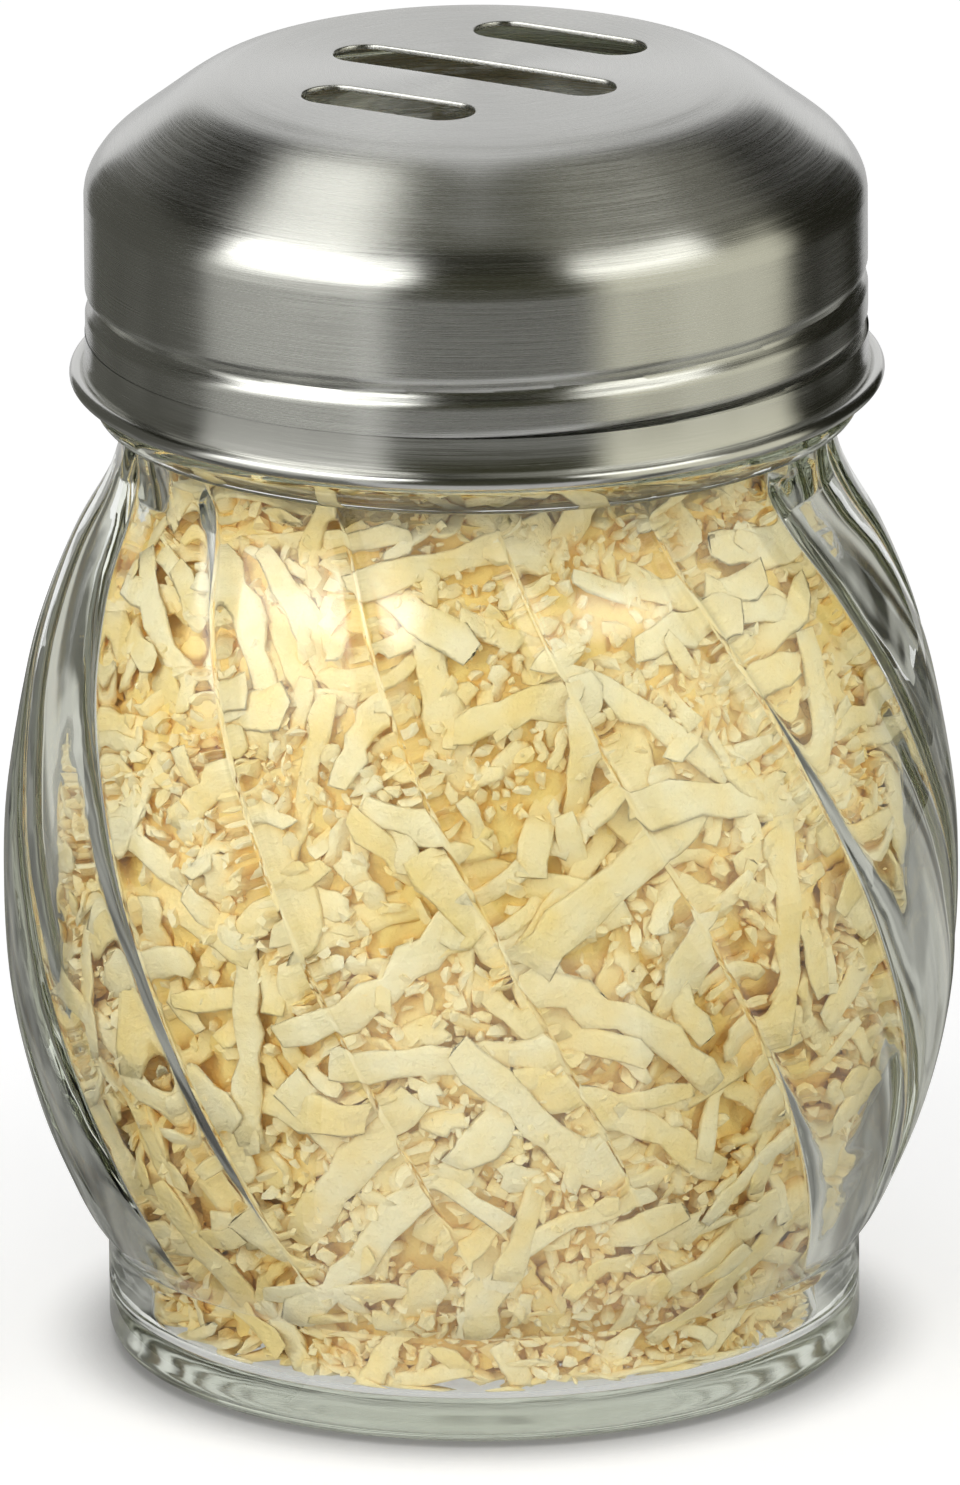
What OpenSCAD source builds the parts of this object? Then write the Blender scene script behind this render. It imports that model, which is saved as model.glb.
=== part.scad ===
// Grated cheese shaker: a swirled glass jar, a slotted screw lid of pressed sheet metal, and
// the grated cheese inside it. The axis of the jar is Z, the table is z = 0, and the slots of
// the lid run along X.

/* [Jar] */
// Widest diameter of the belly, over the flutes
belly_d = 76; // [74:0.5:79]
// Height of the body, from the table to the bead under the lid
body_h = 77; // [74:0.5:80]
// Diameter of the foot
foot_d = 60; // [58:0.5:63]
// Height of the foot band
foot_h = 9; // [7:0.5:10]
// Rounding of the bottom edge of the foot
heel_r = 2; // [1:0.25:2.5]
// Rise of the hollow under the foot
push_up = 1.2; // [0.6:0.1:2]
// Width of the ring that the jar stands on
stand_ring_w = 4; // [3:0.25:5]
// Diameter of the neck
neck_d = 56.8; // [56:0.2:57.4]
// Height of the neck, from the bead's lower side to the lip
neck_h = 21.8; // [21:0.2:23]
// How far the bead under the lid stands out of the neck
bead_out = 1.9; // [1.3:0.1:2.1]
// Height of the bead
bead_h = 1.8; // [1.2:0.1:2]
// Thickness of the glass in the belly
belly_wall = 3.7; // [3:0.1:4]
// Thickness of the glass in the neck
neck_wall = 3; // [2.5:0.1:3.4]
// Thickness of the floor
floor_t = 4; // [3:0.25:5]
// Rounding inside, between the floor and the wall
floor_corner_r = 4; // [2:0.5:6]

/* [Flutes] */
// Number of flutes round the belly
flutes = 14; // [10:2:18]
// Depth of the creases between the flutes
crease_depth = 1.3; // [0.6:0.1:1.6]
// Turn of each crease from the neck down to the foot, in degrees
flute_twist = 54; // [20:1:80]
// Angle of the first crease at the neck, in degrees
flute_phase = -7; // [-30:1:30]
// Height over which a crease fades out at its ends
crease_fade = 4; // [2:0.5:6]

/* [Lid] */
// Gap between the bead and the rolled rim above it
rim_lift = 0.75; // [0.5:0.05:1]
// Gap between the neck's thread and the lid's band
lid_fit = 0.2; // [0.15:0.05:0.3]
// Height of the dome above the band
dome_h = 9.8; // [9:0.2:10.6]
// Thickness of the lid's sheet
sheet_t = 0.5; // [0.4:0.05:0.55]
// Thickness of the rolled rim, across its curl
rim_d = 1.7; // [1.5:0.1:1.8]
// How far the rolled rim stands out of the band
rim_out = 1.3; // [1.1:0.05:1.5]
// Gap left between the lid and the lip of the jar
seat_gap = 0.3; // [0.2:0.05:0.5]

/* [Slots] */
// Width of the slots
slot_w = 5; // [4.6:0.1:5.6]
// Length of the middle slot
long_slot = 25; // [22:0.5:28]
// Length of the two side slots
short_slot = 15; // [12:0.5:17]
// Distance between slots, across them
slot_pitch = 11.2; // [9:0.2:12]
// Shift of each side slot along its own length
slot_shift = 1.4; // [0:0.1:2.5]

/* [Thread] */
// Rise of the thread in one turn
thread_pitch = 4.2; // [4:0.05:4.4]
// Turns of thread rolled into the lid
lid_thread_turns = 1.46; // [1:0.02:1.6]
// Turns of thread on the neck
neck_thread_turns = 1.5; // [1:0.05:1.7]
// Depth of the groove rolled into the lid
lid_thread_depth = 0.65; // [0.5:0.05:0.7]
// Half the width of that groove
lid_thread_half_w = 1.1; // [0.9:0.05:1.2]
// How far the thread stands out of the neck
thread_out = 1.9; // [1.7:0.05:2]
// Width of the neck's thread at its root
thread_root_w = 2.4; // [2:0.1:2.6]
// Width of the neck's thread at its crest
thread_crest_w = 1.1; // [0.8:0.1:1.3]
// Height of the groove's start above the bottom of the lid
thread_start_h = 3.3; // [3.2:0.05:3.5]
// Angle where the groove starts, in degrees
thread_start_a = 283; // [0:1:360]

/* [Cheese] */
// Height left free between the cheese at the wall and the bead
headroom = 7; // [6:0.5:16]
// Rise of the heap in the middle
heap_h = 3; // [1:0.5:4]
// Room between the packed core and the glass, where the shreds lie
shred_layer = 3.6; // [3.4:0.1:4.4]
// Gap between shreds and what they lie on
rest_gap = 0.3; // [0.2:0.05:0.4]
// Length of a long shred
long_shred = 14; // [10:0.5:14.5]
// Width of a long shred
long_shred_w = 2.4; // [1.8:0.1:2.6]
// Length of a short shred
short_shred = 7; // [5:0.5:7.5]
// Width of a short shred
short_shred_w = 2; // [1.4:0.1:2.2]
// Thickness of the shreds
shred_t = 1; // [0.8:0.05:1.2]
// Room between neighbouring shreds
shred_apart = 1.2; // [1:0.1:2]
// Size of a crumb
crumb = 1.8; // [1.2:0.1:2]

/* [Hidden] */
$fn = 96;
// Overrun of every cut
over = 1;
// Depth to which joined shapes reach into one another
sink = 0.4;

belly_r = belly_d / 2;
foot_r = foot_d / 2;
neck_r = neck_d / 2;
bore_r = neck_r - neck_wall;
thread_r = neck_r + thread_out;
bead_r = neck_r + bead_out;
band_r = thread_r + lid_fit + sheet_t;
lip_z = body_h + neck_h;
fill_h = body_h - headroom;

// Outline of the belly from the foot up to its widest point: share of what it stands out of
// the foot, and share of the height from the foot band to the bead
lower_shares = [[0, 0], [0.212, 0.035], [0.406, 0.082], [0.644, 0.15], [0.838, 0.23],
    [0.962, 0.32], [1, 0.42]];
// From there up to the bead: share of what it stands out of the neck, and the same height
upper_shares = [[0.972, 0.53], [0.818, 0.663], [0.667, 0.747], [0.406, 0.84], [0.149, 0.905],
    [0.018, 0.952], [-0.021, 1]];
// Steps of the smoothed outline between two of its points
belly_steps = 2;
// Places of the points across one flute, from crease to crease
flute_shares = [0, 0.1, 0.25, 0.5, 0.75, 0.9];

function catmull(a, b, c, d, t) = (2 * b + (c - a) * t + (2 * a - 5 * b + 4 * c - d) * t * t
    + (3 * b - a - 3 * c + d) * t * t * t) / 2;
function smooth(path, steps) = let (last = len(path) - 1) [for (i = [0 : last - 1],
    s = [0 : steps - 1]) catmull(path[max(i - 1, 0)], path[i], path[i + 1],
    path[min(i + 2, last)], s / steps), path[last]];
// Unit vector that points to the left of a path at one of its points
function left_of(path, i) = let (last = len(path) - 1, d = path[min(i + 1, last)]
    - path[max(i - 1, 0)]) [-d.y, d.x] / norm(d);
function offset_path(path, distance) = [for (i = [0 : len(path) - 1]) path[i]
    + distance * left_of(path, i)];
function reversed(list) = [for (i = [len(list) - 1 : -1 : 0]) list[i]];

function outline(shares, from_r) = [for (p = shares) [from_r + p[0] * (belly_r - from_r),
    foot_h + p[1] * (body_h - foot_h)]];
belly_path = smooth(concat(outline(lower_shares, foot_r), outline(upper_shares, neck_r)),
    belly_steps);
belly_z = outline(lower_shares, foot_r)[len(lower_shares) - 1].y;
inner_path = [for (p = offset_path(belly_path, belly_wall)) if (p.x > bore_r || p.y < belly_z) p];
core_path = [for (p = offset_path(belly_path, belly_wall + shred_layer)) if (p.y < fill_h
    - rest_gap && (p.x > bore_r - shred_layer || p.y < belly_z)) p];

// Faces of a tube of rings, with as many points in each, closed by a flat face at both ends
function tube_faces(rings, n) = concat([[for (j = [0 : n - 1]) j]],
    [for (i = [0 : rings - 2], j = [0 : n - 1]) [i * n + j, (i + 1) * n + j,
    (i + 1) * n + (j + 1) % n]],
    [for (i = [0 : rings - 2], j = [0 : n - 1]) [i * n + j, (i + 1) * n + (j + 1) % n,
    i * n + (j + 1) % n]],
    [[for (j = [n - 1 : -1 : 0]) (rings - 1) * n + j]]);

// Depth of the flutes at a height, and over the width of one flute
function crease_strength(z) = min(1, max(0, (z - foot_h) / crease_fade),
    max(0, (body_h - z) / crease_fade));
function crease_angle(z) = flute_phase + flute_twist * (body_h - z) / (body_h - foot_h);

module fluted_belly() {
    n = flutes * len(flute_shares);
    rings = concat([[foot_r - sink, foot_h - sink]], [for (i = [1 : len(belly_path) - 1])
        belly_path[i]]);
    points = [for (ring = rings, k = [0 : flutes - 1], s = flute_shares)
        let (a = crease_angle(ring[1]) + (k + s) * 360 / flutes,
            r = ring[0] - crease_depth * crease_strength(ring[1]) * pow(abs(2 * s - 1), 3))
        [r * cos(a), r * sin(a), ring[1]]];
    polyhedron(points, tube_faces(len(rings), n), convexity = 4);
}

// Helical ridge round the neck, sunk into it at its root and at both ends
module neck_thread() {
    steps = ceil(neck_thread_turns * 48);
    fade = 5;
    root_r = neck_r - sink;
    points = [for (i = [0 : steps]) let (
        turn = i / steps * neck_thread_turns,
        a = thread_start_a + 360 * turn,
        z = lid_bottom_z + thread_start_h + thread_pitch * (turn + 0.5),
        rise = min(1, i / fade, (steps - i) / fade),
        r = root_r + sink / 2 + (thread_r - root_r - sink / 2) * rise)
        each [for (p = [[root_r, thread_root_w], [r, thread_crest_w], [r, -thread_crest_w],
            [root_r, -thread_root_w]]) [p[0] * cos(a), p[0] * sin(a), z + p[1] / 2]]];
    polyhedron(points, tube_faces(steps + 1, 4), convexity = 8);
}

// Half section of the foot, the neck, its bead and the lip
module solid_section() {
    translate([0, heel_r]) square([foot_r, foot_h - heel_r]);
    square([foot_r - heel_r, foot_h]);
    translate([foot_r - heel_r, heel_r]) circle(heel_r);
    translate([0, body_h - sink]) square([neck_r, neck_h + sink - neck_wall / 2]);
    translate([0, body_h]) square([bead_r - bead_h / 2, bead_h]);
    translate([bead_r - bead_h / 2, body_h + bead_h / 2]) circle(bead_h / 2);
    translate([neck_r - neck_wall / 2, lip_z - neck_wall / 2]) circle(neck_wall / 2);
}

module cavity_section() {
    first = inner_path[0];
    last = inner_path[len(inner_path) - 1];
    polygon(concat([[0, floor_t], [first.x - floor_corner_r, floor_t]],
        [for (a = [15 : 15 : 75]) [first.x - floor_corner_r * (1 - sin(a)),
            floor_t + floor_corner_r * (1 - cos(a))]],
        [[first.x, floor_t + floor_corner_r]], inner_path,
        [[bore_r, last.y + sink], [bore_r, lip_z + over], [0, lip_z + over]]));
}

module glass_jar() {
    color([0.82, 0.88, 0.86, 0.35]) difference() {
        union() {
            fluted_belly();
            rotate_extrude() intersection() {
                solid_section();
                square([belly_d, lip_z + over]);
            }
            neck_thread();
        }
        rotate_extrude() cavity_section();
        rotate_extrude() polygon([[0, push_up], [foot_r - heel_r - 2 * stand_ring_w, push_up],
            [foot_r - heel_r - stand_ring_w, 0], [foot_r - heel_r - stand_ring_w, -over],
            [0, -over]]);
    }
}

// Outline of the dome from its middle outward: share of the band's radius, and share of the
// dome's height that it has dropped
dome_shares = [[0, 0], [0.30, 0.004], [0.58, 0.02], [0.67, 0.07], [0.742, 0.17], [0.85, 0.42],
    [0.935, 0.63], [0.975, 0.78], [0.994, 0.90], [1, 1]];
dome_steps = 2;
dome_drops = [for (p = dome_shares) [p[0] * band_r, p[1] * dome_h]];
dome_slope = atan((dome_drops[6][1] - dome_drops[4][1]) / (dome_drops[6][0] - dome_drops[4][0]));
seat_r = neck_r - neck_wall / 2 * (1 - sin(dome_slope));
// The dome's sheet lies over the outer edge of the lip, seat_gap above it
lid_top_z = lip_z - neck_wall / 2 * (1 - cos(dome_slope)) + lookup(seat_r, dome_drops)
    + (seat_gap + sheet_t) / cos(dome_slope);
lid_bottom_z = body_h + bead_h + rim_lift;
// Gap between the rolled rim and the end of the skirt
rim_gap = 0.1;
// Step by which the rolled skirt lies inside the faces of the band
roll_step = 0.03;
skirt_z = lid_bottom_z + rim_d + rim_gap;
skirt_top_z = lid_bottom_z + thread_start_h + thread_pitch * lid_thread_turns
    + lid_thread_half_w + sink;

dome_path = smooth([for (p = dome_drops) [p[0], lid_top_z - p[1]]], dome_steps);
band_path = concat(dome_path, [[band_r, skirt_top_z - sink]]);

// Depth of the rolled groove at an angle from its start and a height above it
function groove(a, z) = max([for (k = [0 : ceil(lid_thread_turns)]) let (turn = a / 360 + k)
    turn > lid_thread_turns ? 0 : groove_fade(turn) * groove_shape(z - thread_pitch * turn)]);
function groove_fade(turn) = min(1, turn * 8, (lid_thread_turns - turn) * 8);
function groove_shape(z) = abs(z) > lid_thread_half_w ? 0
    : lid_thread_depth * pow(cos(90 * z / lid_thread_half_w), 2);

module rolled_skirt() {
    n = 72;
    rows = 18;
    outer_r = band_r - roll_step;
    inner_r = (band_r - sheet_t) / cos(180 / n) + roll_step;
    h = skirt_top_z - skirt_z;
    wall = [for (r = [outer_r, inner_r], i = [0 : rows], j = [0 : n - 1]) let (
        a = 360 * j / n,
        z = skirt_z + h * i / rows,
        depth = i == 0 || i == rows ? 0 : groove(a, z - lid_bottom_z - thread_start_h))
        [(r - depth) * cos(a + thread_start_a), (r - depth) * sin(a + thread_start_a), z]];
    side = (rows + 1) * n;
    faces = [for (i = [0 : rows - 1], j = [0 : n - 1]) let (
        p = i * n + j,
        q = i * n + (j + 1) % n)
        each [[p, p + n, q + n], [p, q + n, q],
            [side + p, side + q + n, side + p + n], [side + p, side + q, side + q + n]]];
    ends = [for (j = [0 : n - 1]) let (
        p = j,
        q = (j + 1) % n,
        top = rows * n)
        each [[p, q, side + q], [p, side + q, side + p],
            [top + p, top + side + q, top + q], [top + p, top + side + p, top + side + q]]];
    polyhedron(wall, concat(faces, ends), convexity = 8);
}

module slot(length, shift) {
    span = length - slot_w;
    h = dome_h + over;
    translate([shift, 0, lid_top_z - dome_h]) {
        translate([-span / 2, -slot_w / 2]) cube([span, slot_w, h]);
        for (side = [-1, 1]) translate([side * span / 2, 0]) cylinder(d = slot_w, h = h);
    }
}

module lid() {
    color([0.72, 0.72, 0.69]) difference() {
        union() {
            rotate_extrude() intersection() {
                polygon(concat(band_path, reversed(offset_path(band_path, -sheet_t))));
                square([2 * band_r, lid_top_z + over]);
            }
            rolled_skirt();
        }
        slot(long_slot, 0);
        for (side = [-1, 1]) translate([0, side * slot_pitch]) slot(short_slot,
            side * slot_shift);
    }
}

// The rolled rim is a curl of sheet, open at the top against the skirt
module rim_curl() {
    rim_r = band_r + rim_out - rim_d / 2;
    color([0.62, 0.62, 0.59]) rotate_extrude() translate([rim_r, lid_bottom_z + rim_d / 2])
        difference() {
            circle(d = rim_d);
            circle(d = rim_d - 2 * sheet_t);
            translate([-sheet_t / 2, 0]) square([sheet_t, rim_d]);
        }
}

core_base_z = floor_t + rest_gap;
core_foot_r = core_path[0].x;
// Chamfer round the foot of the core, where the crumbs lie
core_chamfer = floor_corner_r + crumb;
// Outline of the heap on top: share of its radius, and share of its rise
heap_shares = [[1, 0], [0.85, 0.35], [0.5, 0.8], [0, 1]];
heap_edge = core_path[len(core_path) - 1];
heap_path = [for (p = heap_shares) [p[0] * heap_edge.x, heap_edge.y + p[1]
    * (fill_h + heap_h - heap_edge.y)]];
function heap_z(r) = lookup(r, heap_path);

module cheese_core() {
    color([0.90, 0.80, 0.50]) rotate_extrude() polygon(concat(
        [[0, core_base_z], [core_foot_r - core_chamfer, core_base_z],
            [core_foot_r, core_base_z + core_chamfer]], core_path,
        [for (i = [1 : len(heap_path) - 1]) heap_path[i]]));
}

// A shred that lies on the heap, across the radius at its middle
module heap_shred(a, r, length, width) {
    slope = atan((heap_z(r - width / 2) - heap_z(r + width / 2)) / width);
    rotate([0, 0, a]) translate([r, 0, heap_z(r)]) rotate([0, slope, 0])
        translate([0, 0, rest_gap + shred_t / 2]) cube([width, length, shred_t], center = true);
}

// Radius and slope of the packed core at a height
core_by_z = [for (p = core_path) [p.y, p.x]];
function core_r(z) = lookup(z, core_by_z);
function core_slope(z) = atan((core_r(z + shred_t) - core_r(z - shred_t)) / (2 * shred_t));

// How many shreds of a length fit side by side on a circle
function around(r, length) = floor(180 / atan((length + shred_apart) / (2 * r)));

// A shred that lies on the side of the core, turned in its own plane
module wall_shred(a, z, tilt, length, width) {
    rotate([0, 0, a]) translate([core_r(z), 0, z]) rotate([0, core_slope(z), 0])
        translate([rest_gap + shred_t / 2, 0, 0]) rotate([tilt, 0, 0])
        cube([shred_t, length, width], center = true);
}

// A ring of shreds side by side round the core, tilted by turns to either side
module shred_ring(z, tilt, length, width, phase) {
    count = around(core_r(z), length);
    for (k = [0 : count - 1])
        wall_shred(phase + 360 * k / count, z, tilt * sin(360 * (k * 0.382 + phase / 90)),
            length, width);
}

// Most that the shreds of a ring tilt, in degrees
long_tilt = 18;
short_tilt = 32;
ring_pitch = (long_shred * sin(long_tilt) + long_shred_w * cos(long_tilt)
    + short_shred * sin(short_tilt) + short_shred_w * cos(short_tilt)) / 2 + shred_apart;
rings = floor((fill_h - foot_h) / ring_pitch) - 1;

module long_shreds() {
    color([0.96, 0.90, 0.66]) {
        for (i = [2 : 2 : rings])
            shred_ring(foot_h + i * ring_pitch, long_tilt, long_shred, long_shred_w, 31 * i);
        count = around(long_shred - long_shred_w / 2, long_shred);
        for (k = [0 : count - 1])
            heap_shred(360 * k / count, long_shred, long_shred, long_shred_w);
    }
}

module short_shreds() {
    color([0.95, 0.87, 0.60]) {
        for (i = [1 : 2 : rings])
            shred_ring(foot_h + i * ring_pitch, short_tilt, short_shred, short_shred_w, 17 * i);
        count = around(long_shred / 2 - short_shred_w / 2, short_shred);
        for (k = [0 : count - 1])
            heap_shred(360 * k / count, long_shred / 2, short_shred, short_shred_w);
    }
}

// Crumbs on the floor, in the corner under the core's chamfered edge
module crumbs() {
    count = 24;
    turn = 15;
    reach = crumb / 2 * (cos(turn) + sin(turn));
    color([0.93, 0.85, 0.58]) for (k = [0 : count - 1]) rotate([0, 0, 360 * k / count])
        translate([core_foot_r - core_chamfer + crumb + rest_gap * sqrt(2) + reach, 0,
            core_base_z + crumb / 2])
        rotate([0, 0, turn * sin(140 * k)]) cube(crumb, center = true);
}

glass_jar();
lid();
rim_curl();
cheese_core();
long_shreds();
short_shreds();
crumbs();
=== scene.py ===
# %% [markdown]
# # A shaker of grated cheese
# A pressed glass jar with fourteen swirled flutes, a screw lid pressed from thin stainless
# sheet, and the coarse grated cheese inside. The solids of the part come first, as a fixed
# frame. Each piece below is then made as its maker would think of it, and takes its place in
# that frame.

# %% Tools and the frame
import math

import bmesh
import bpy
import numpy as np
from mathutils import Matrix, Vector, geometry, noise


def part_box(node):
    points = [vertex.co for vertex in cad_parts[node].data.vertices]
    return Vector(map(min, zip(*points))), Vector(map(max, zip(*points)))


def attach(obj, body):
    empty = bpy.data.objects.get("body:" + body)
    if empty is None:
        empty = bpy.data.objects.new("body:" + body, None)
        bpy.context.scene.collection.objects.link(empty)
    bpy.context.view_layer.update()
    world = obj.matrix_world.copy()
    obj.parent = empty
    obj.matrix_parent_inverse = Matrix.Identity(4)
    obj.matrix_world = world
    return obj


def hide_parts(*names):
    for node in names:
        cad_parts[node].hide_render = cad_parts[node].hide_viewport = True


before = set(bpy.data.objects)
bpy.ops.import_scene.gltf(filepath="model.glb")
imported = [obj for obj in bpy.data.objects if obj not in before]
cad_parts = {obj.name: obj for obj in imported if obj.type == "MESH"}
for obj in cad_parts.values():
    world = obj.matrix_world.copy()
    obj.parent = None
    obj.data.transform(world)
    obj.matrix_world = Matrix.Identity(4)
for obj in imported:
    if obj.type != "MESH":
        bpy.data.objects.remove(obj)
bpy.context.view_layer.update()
MM = 0.001

# %% [markdown]
# ## Sizes
# All lengths are in millimetres, as a glass maker would quote them, and become metres when a
# mesh is made. The outline of the belly is a list of shares: how far it stands out of the foot
# or of the neck, and how far up it is. A Catmull-Rom curve runs smoothly through them.

# %% Sizes of the jar and the lid
FLUTES, CREASE, TWIST, PHASE = 14, 0.7, 54, -7
SHARPNESS, FADE_FOOT, FADE_TOP = 9, 18, 3
BODY_H, FOOT_H, BELLY_R, FOOT_R = 77, 9, 38, 30
NECK_R, BORE_R, BEAD_R, BEAD_H, LIP_Z = 28.4, 25.4, 30.3, 1.8, 98.8
WALL, FLOOR_T, FLOOR_CORNER, PUSH_UP, HEEL_R = 3.7, 3.1, 1.4, 1.2, 2
BAND_R, DOME_H, SHEET, RIM_D, RIM_R = 31, 9.8, 0.5, 1.7, 31.45
PITCH, LID_TURNS, NECK_TURNS, START_H, START_A = 4.2, 1.46, 1.5, 3.3, 283
LID_BOTTOM = BODY_H + BEAD_H + 0.75
LID_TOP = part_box("lid")[1].z / MM
print("the lid's top is at", round(LID_TOP, 2), "mm")

lower_shares = [(0, 0), (0.212, 0.035), (0.406, 0.082), (0.644, 0.15), (0.838, 0.23),
                (0.962, 0.32), (1, 0.42)]
upper_shares = [(0.972, 0.53), (0.818, 0.663), (0.667, 0.747), (0.406, 0.84), (0.149, 0.905),
                (0.018, 0.952), (-0.021, 1)]
dome_shares = [(0, 0), (0.30, 0.004), (0.58, 0.02), (0.67, 0.07), (0.742, 0.17), (0.85, 0.42),
               (0.935, 0.63), (0.975, 0.78), (0.994, 0.90), (1, 1)]


def smooth(path, steps):
    """A Catmull-Rom curve through the points of a path."""
    p = np.array(path, float)
    out = []
    for i in range(len(p) - 1):
        a, b, c, d = p[max(i - 1, 0)], p[i], p[i + 1], p[min(i + 2, len(p) - 1)]
        for t in np.arange(steps) / steps:
            out.append((2 * b + (c - a) * t + (2 * a - 5 * b + 4 * c - d) * t * t
                        + (3 * b - a - 3 * c + d) * t ** 3) / 2)
    return np.array(out + [p[-1]])


def offset(path, distance):
    """The same path moved to its left, which is inwards on an outline drawn upwards."""
    d = np.gradient(path, axis=0)
    left = np.stack([-d[:, 1], d[:, 0]], 1) / np.linalg.norm(d, axis=1)[:, None]
    return path + distance * left


def arc(centre, radius, start, end, steps):
    """Points of a circular arc, with angles in degrees."""
    a = np.radians(np.linspace(start, end, steps + 1))
    return np.stack([centre[0] + radius * np.cos(a), centre[1] + radius * np.sin(a)], 1)


def line(start, end, steps):
    """Points of a straight line, its end left out."""
    t = np.arange(steps)[:, None] / steps
    return np.array(start, float) * (1 - t) + np.array(end, float) * t


def outline(shares, from_r):
    """The belly's points from its shares, which stand out of the foot or of the neck."""
    return [(from_r + s * (BELLY_R - from_r), FOOT_H + h * (BODY_H - FOOT_H)) for s, h in shares]


belly = smooth(outline(lower_shares, FOOT_R) + outline(upper_shares, NECK_R), 8)
inside = offset(belly, WALL)
LEVEL_WALL, LEVEL_TOP = 3.3, 20
share = np.clip((belly[:, 1:] - FOOT_H) / (LEVEL_TOP - FOOT_H), 0, 1)
inside = inside * share + (belly - (LEVEL_WALL, 0)) * (1 - share)
inside = inside[(inside[:, 0] > BORE_R) | (inside[:, 1] < 40)]
print("belly:", len(belly), "points; inner wall:", len(inside))

# %% [markdown]
# ## Turning outlines into closed meshes
# Most pieces here are turned shapes. One helper places an outline at many angles and joins
# the rows with quads, merges the points that fall together on the axis, and makes the faces
# point outwards. A row may move each of its points, which is how threads and grooves are cut.

# %% A helper for turned meshes
def new_piece(name, mesh):
    """Puts a mesh into the scene as an object at the origin."""
    piece = bpy.data.objects.new(name, mesh)
    bpy.context.scene.collection.objects.link(piece)
    return piece


def turned(name, rows, columns, shape=None, closed=False, sharp=40, crowd=0, groups=1):
    """A mesh from an outline of (radius, height) rows. shape(angle, radius, height) returns
    the radii of a row's points. Columns can crowd together at the joints of equal groups."""
    turn = np.arange(columns) / columns
    angle = 2 * np.pi * (turn - crowd * np.sin(2 * np.pi * groups * turn) / (2 * np.pi * groups))
    r = np.repeat(np.array(rows)[:, :1], columns, 1)
    z = np.repeat(np.array(rows)[:, 1:2], columns, 1)
    if shape is not None:
        r = shape(np.degrees(angle)[None, :], r, z)
    points = np.stack([r * np.cos(angle), r * np.sin(angle), z], 2).reshape(-1, 3) * MM
    n = len(rows)
    i, j = np.meshgrid(np.arange(n if closed else n - 1), np.arange(columns), indexing="ij")
    k, l = (i + 1) % n, (j + 1) % columns
    quads = np.stack([i * columns + j, i * columns + l, k * columns + l, k * columns + j], 2)
    mesh = bpy.data.meshes.new(name)
    mesh.from_pydata(points.tolist(), [], quads.reshape(-1, 4).tolist())
    return new_piece(name, tidy(mesh, sharp))


def tidy(mesh, sharp=40):
    """Merges points that fall together, turns all faces outwards and shades the mesh smooth."""
    bm = bmesh.new()
    bm.from_mesh(mesh)
    bmesh.ops.remove_doubles(bm, verts=bm.verts, dist=2e-6)
    bmesh.ops.recalc_face_normals(bm, faces=bm.faces)
    bm.to_mesh(mesh)
    bm.free()
    mesh.polygons.foreach_set("use_smooth", [True] * len(mesh.polygons))
    mesh.set_sharp_from_angle(angle=math.radians(sharp))
    mesh.update()
    return mesh


# %% [markdown]
# ## Materials from nodes
# A few small helpers keep the node trees readable. Values that are the same all over a
# surface go straight onto the shader's sockets, and only what varies is linked.

# %% Helpers for node trees
def node(tree, kind, inputs=(), **settings):
    """Adds a node, sets its properties, and sets or links its inputs by name or number."""
    made = tree.nodes.new(kind)
    for key, value in settings.items():
        setattr(made, key, value)
    for key, value in dict(inputs).items():
        if isinstance(value, bpy.types.NodeSocket):
            tree.links.new(value, made.inputs[key])
        else:
            made.inputs[key].default_value = value
    return made


def maths(tree, operation, *values, clamp=False):
    """The result of a maths node on numbers or sockets."""
    return node(tree, "ShaderNodeMath", dict(enumerate(values)), operation=operation,
                use_clamp=clamp).outputs[0]


def product(tree, first, *factors):
    """The product of numbers and sockets."""
    for factor in factors:
        first = maths(tree, "MULTIPLY", first, factor)
    return first


def vectors(tree, operation, first, second):
    """The result of a vector maths node. To scale, the second is a number or its socket."""
    key = "Scale" if operation == "SCALE" else 1
    return node(tree, "ShaderNodeVectorMath", {0: first, key: second},
                operation=operation).outputs[0]


def remap(tree, value, low, high, to_low=0.0, to_high=1.0, kind="SMOOTHSTEP"):
    """Carries a value from one range to another, with soft ends unless kind is LINEAR."""
    return node(tree, "ShaderNodeMapRange", {0: value, 1: low, 2: high, 3: to_low, 4: to_high},
                interpolation_type=kind).outputs[0]


def blended(tree, share, first, second):
    """A mix of two colours, each a socket or three numbers."""
    pair = [c if isinstance(c, bpy.types.NodeSocket) else (*c, 1) for c in (first, second)]
    return node(tree, "ShaderNodeMix", {0: share, 6: pair[0], 7: pair[1]},
                data_type="RGBA").outputs[2]


def round_axis(tree, where):
    """A place as its distance from the Z axis, its angle round it and its height."""
    x, y, z = node(tree, "ShaderNodeSeparateXYZ", {0: where}).outputs
    squares = [product(tree, side, side) for side in (x, y)]
    return maths(tree, "SQRT", maths(tree, "ADD", *squares)), maths(tree, "ARCTAN2", y, x), z


def ramp(tree, factor, stops):
    """A colour ramp through (place, colour) stops."""
    made = node(tree, "ShaderNodeValToRGB", {"Fac": factor})
    while len(made.color_ramp.elements) < len(stops):
        made.color_ramp.elements.new(0.5)
    for element, (place, colour) in zip(made.color_ramp.elements, stops):
        element.position = place
        element.color = (*colour, 1)
    return made.outputs["Color"]


def new_material(name):
    """An empty material, its node tree and its output node."""
    material = bpy.data.materials.new(name)
    material.use_nodes = True
    material.node_tree.nodes.clear()
    return material, material.node_tree, node(material.node_tree, "ShaderNodeOutputMaterial")


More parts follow.
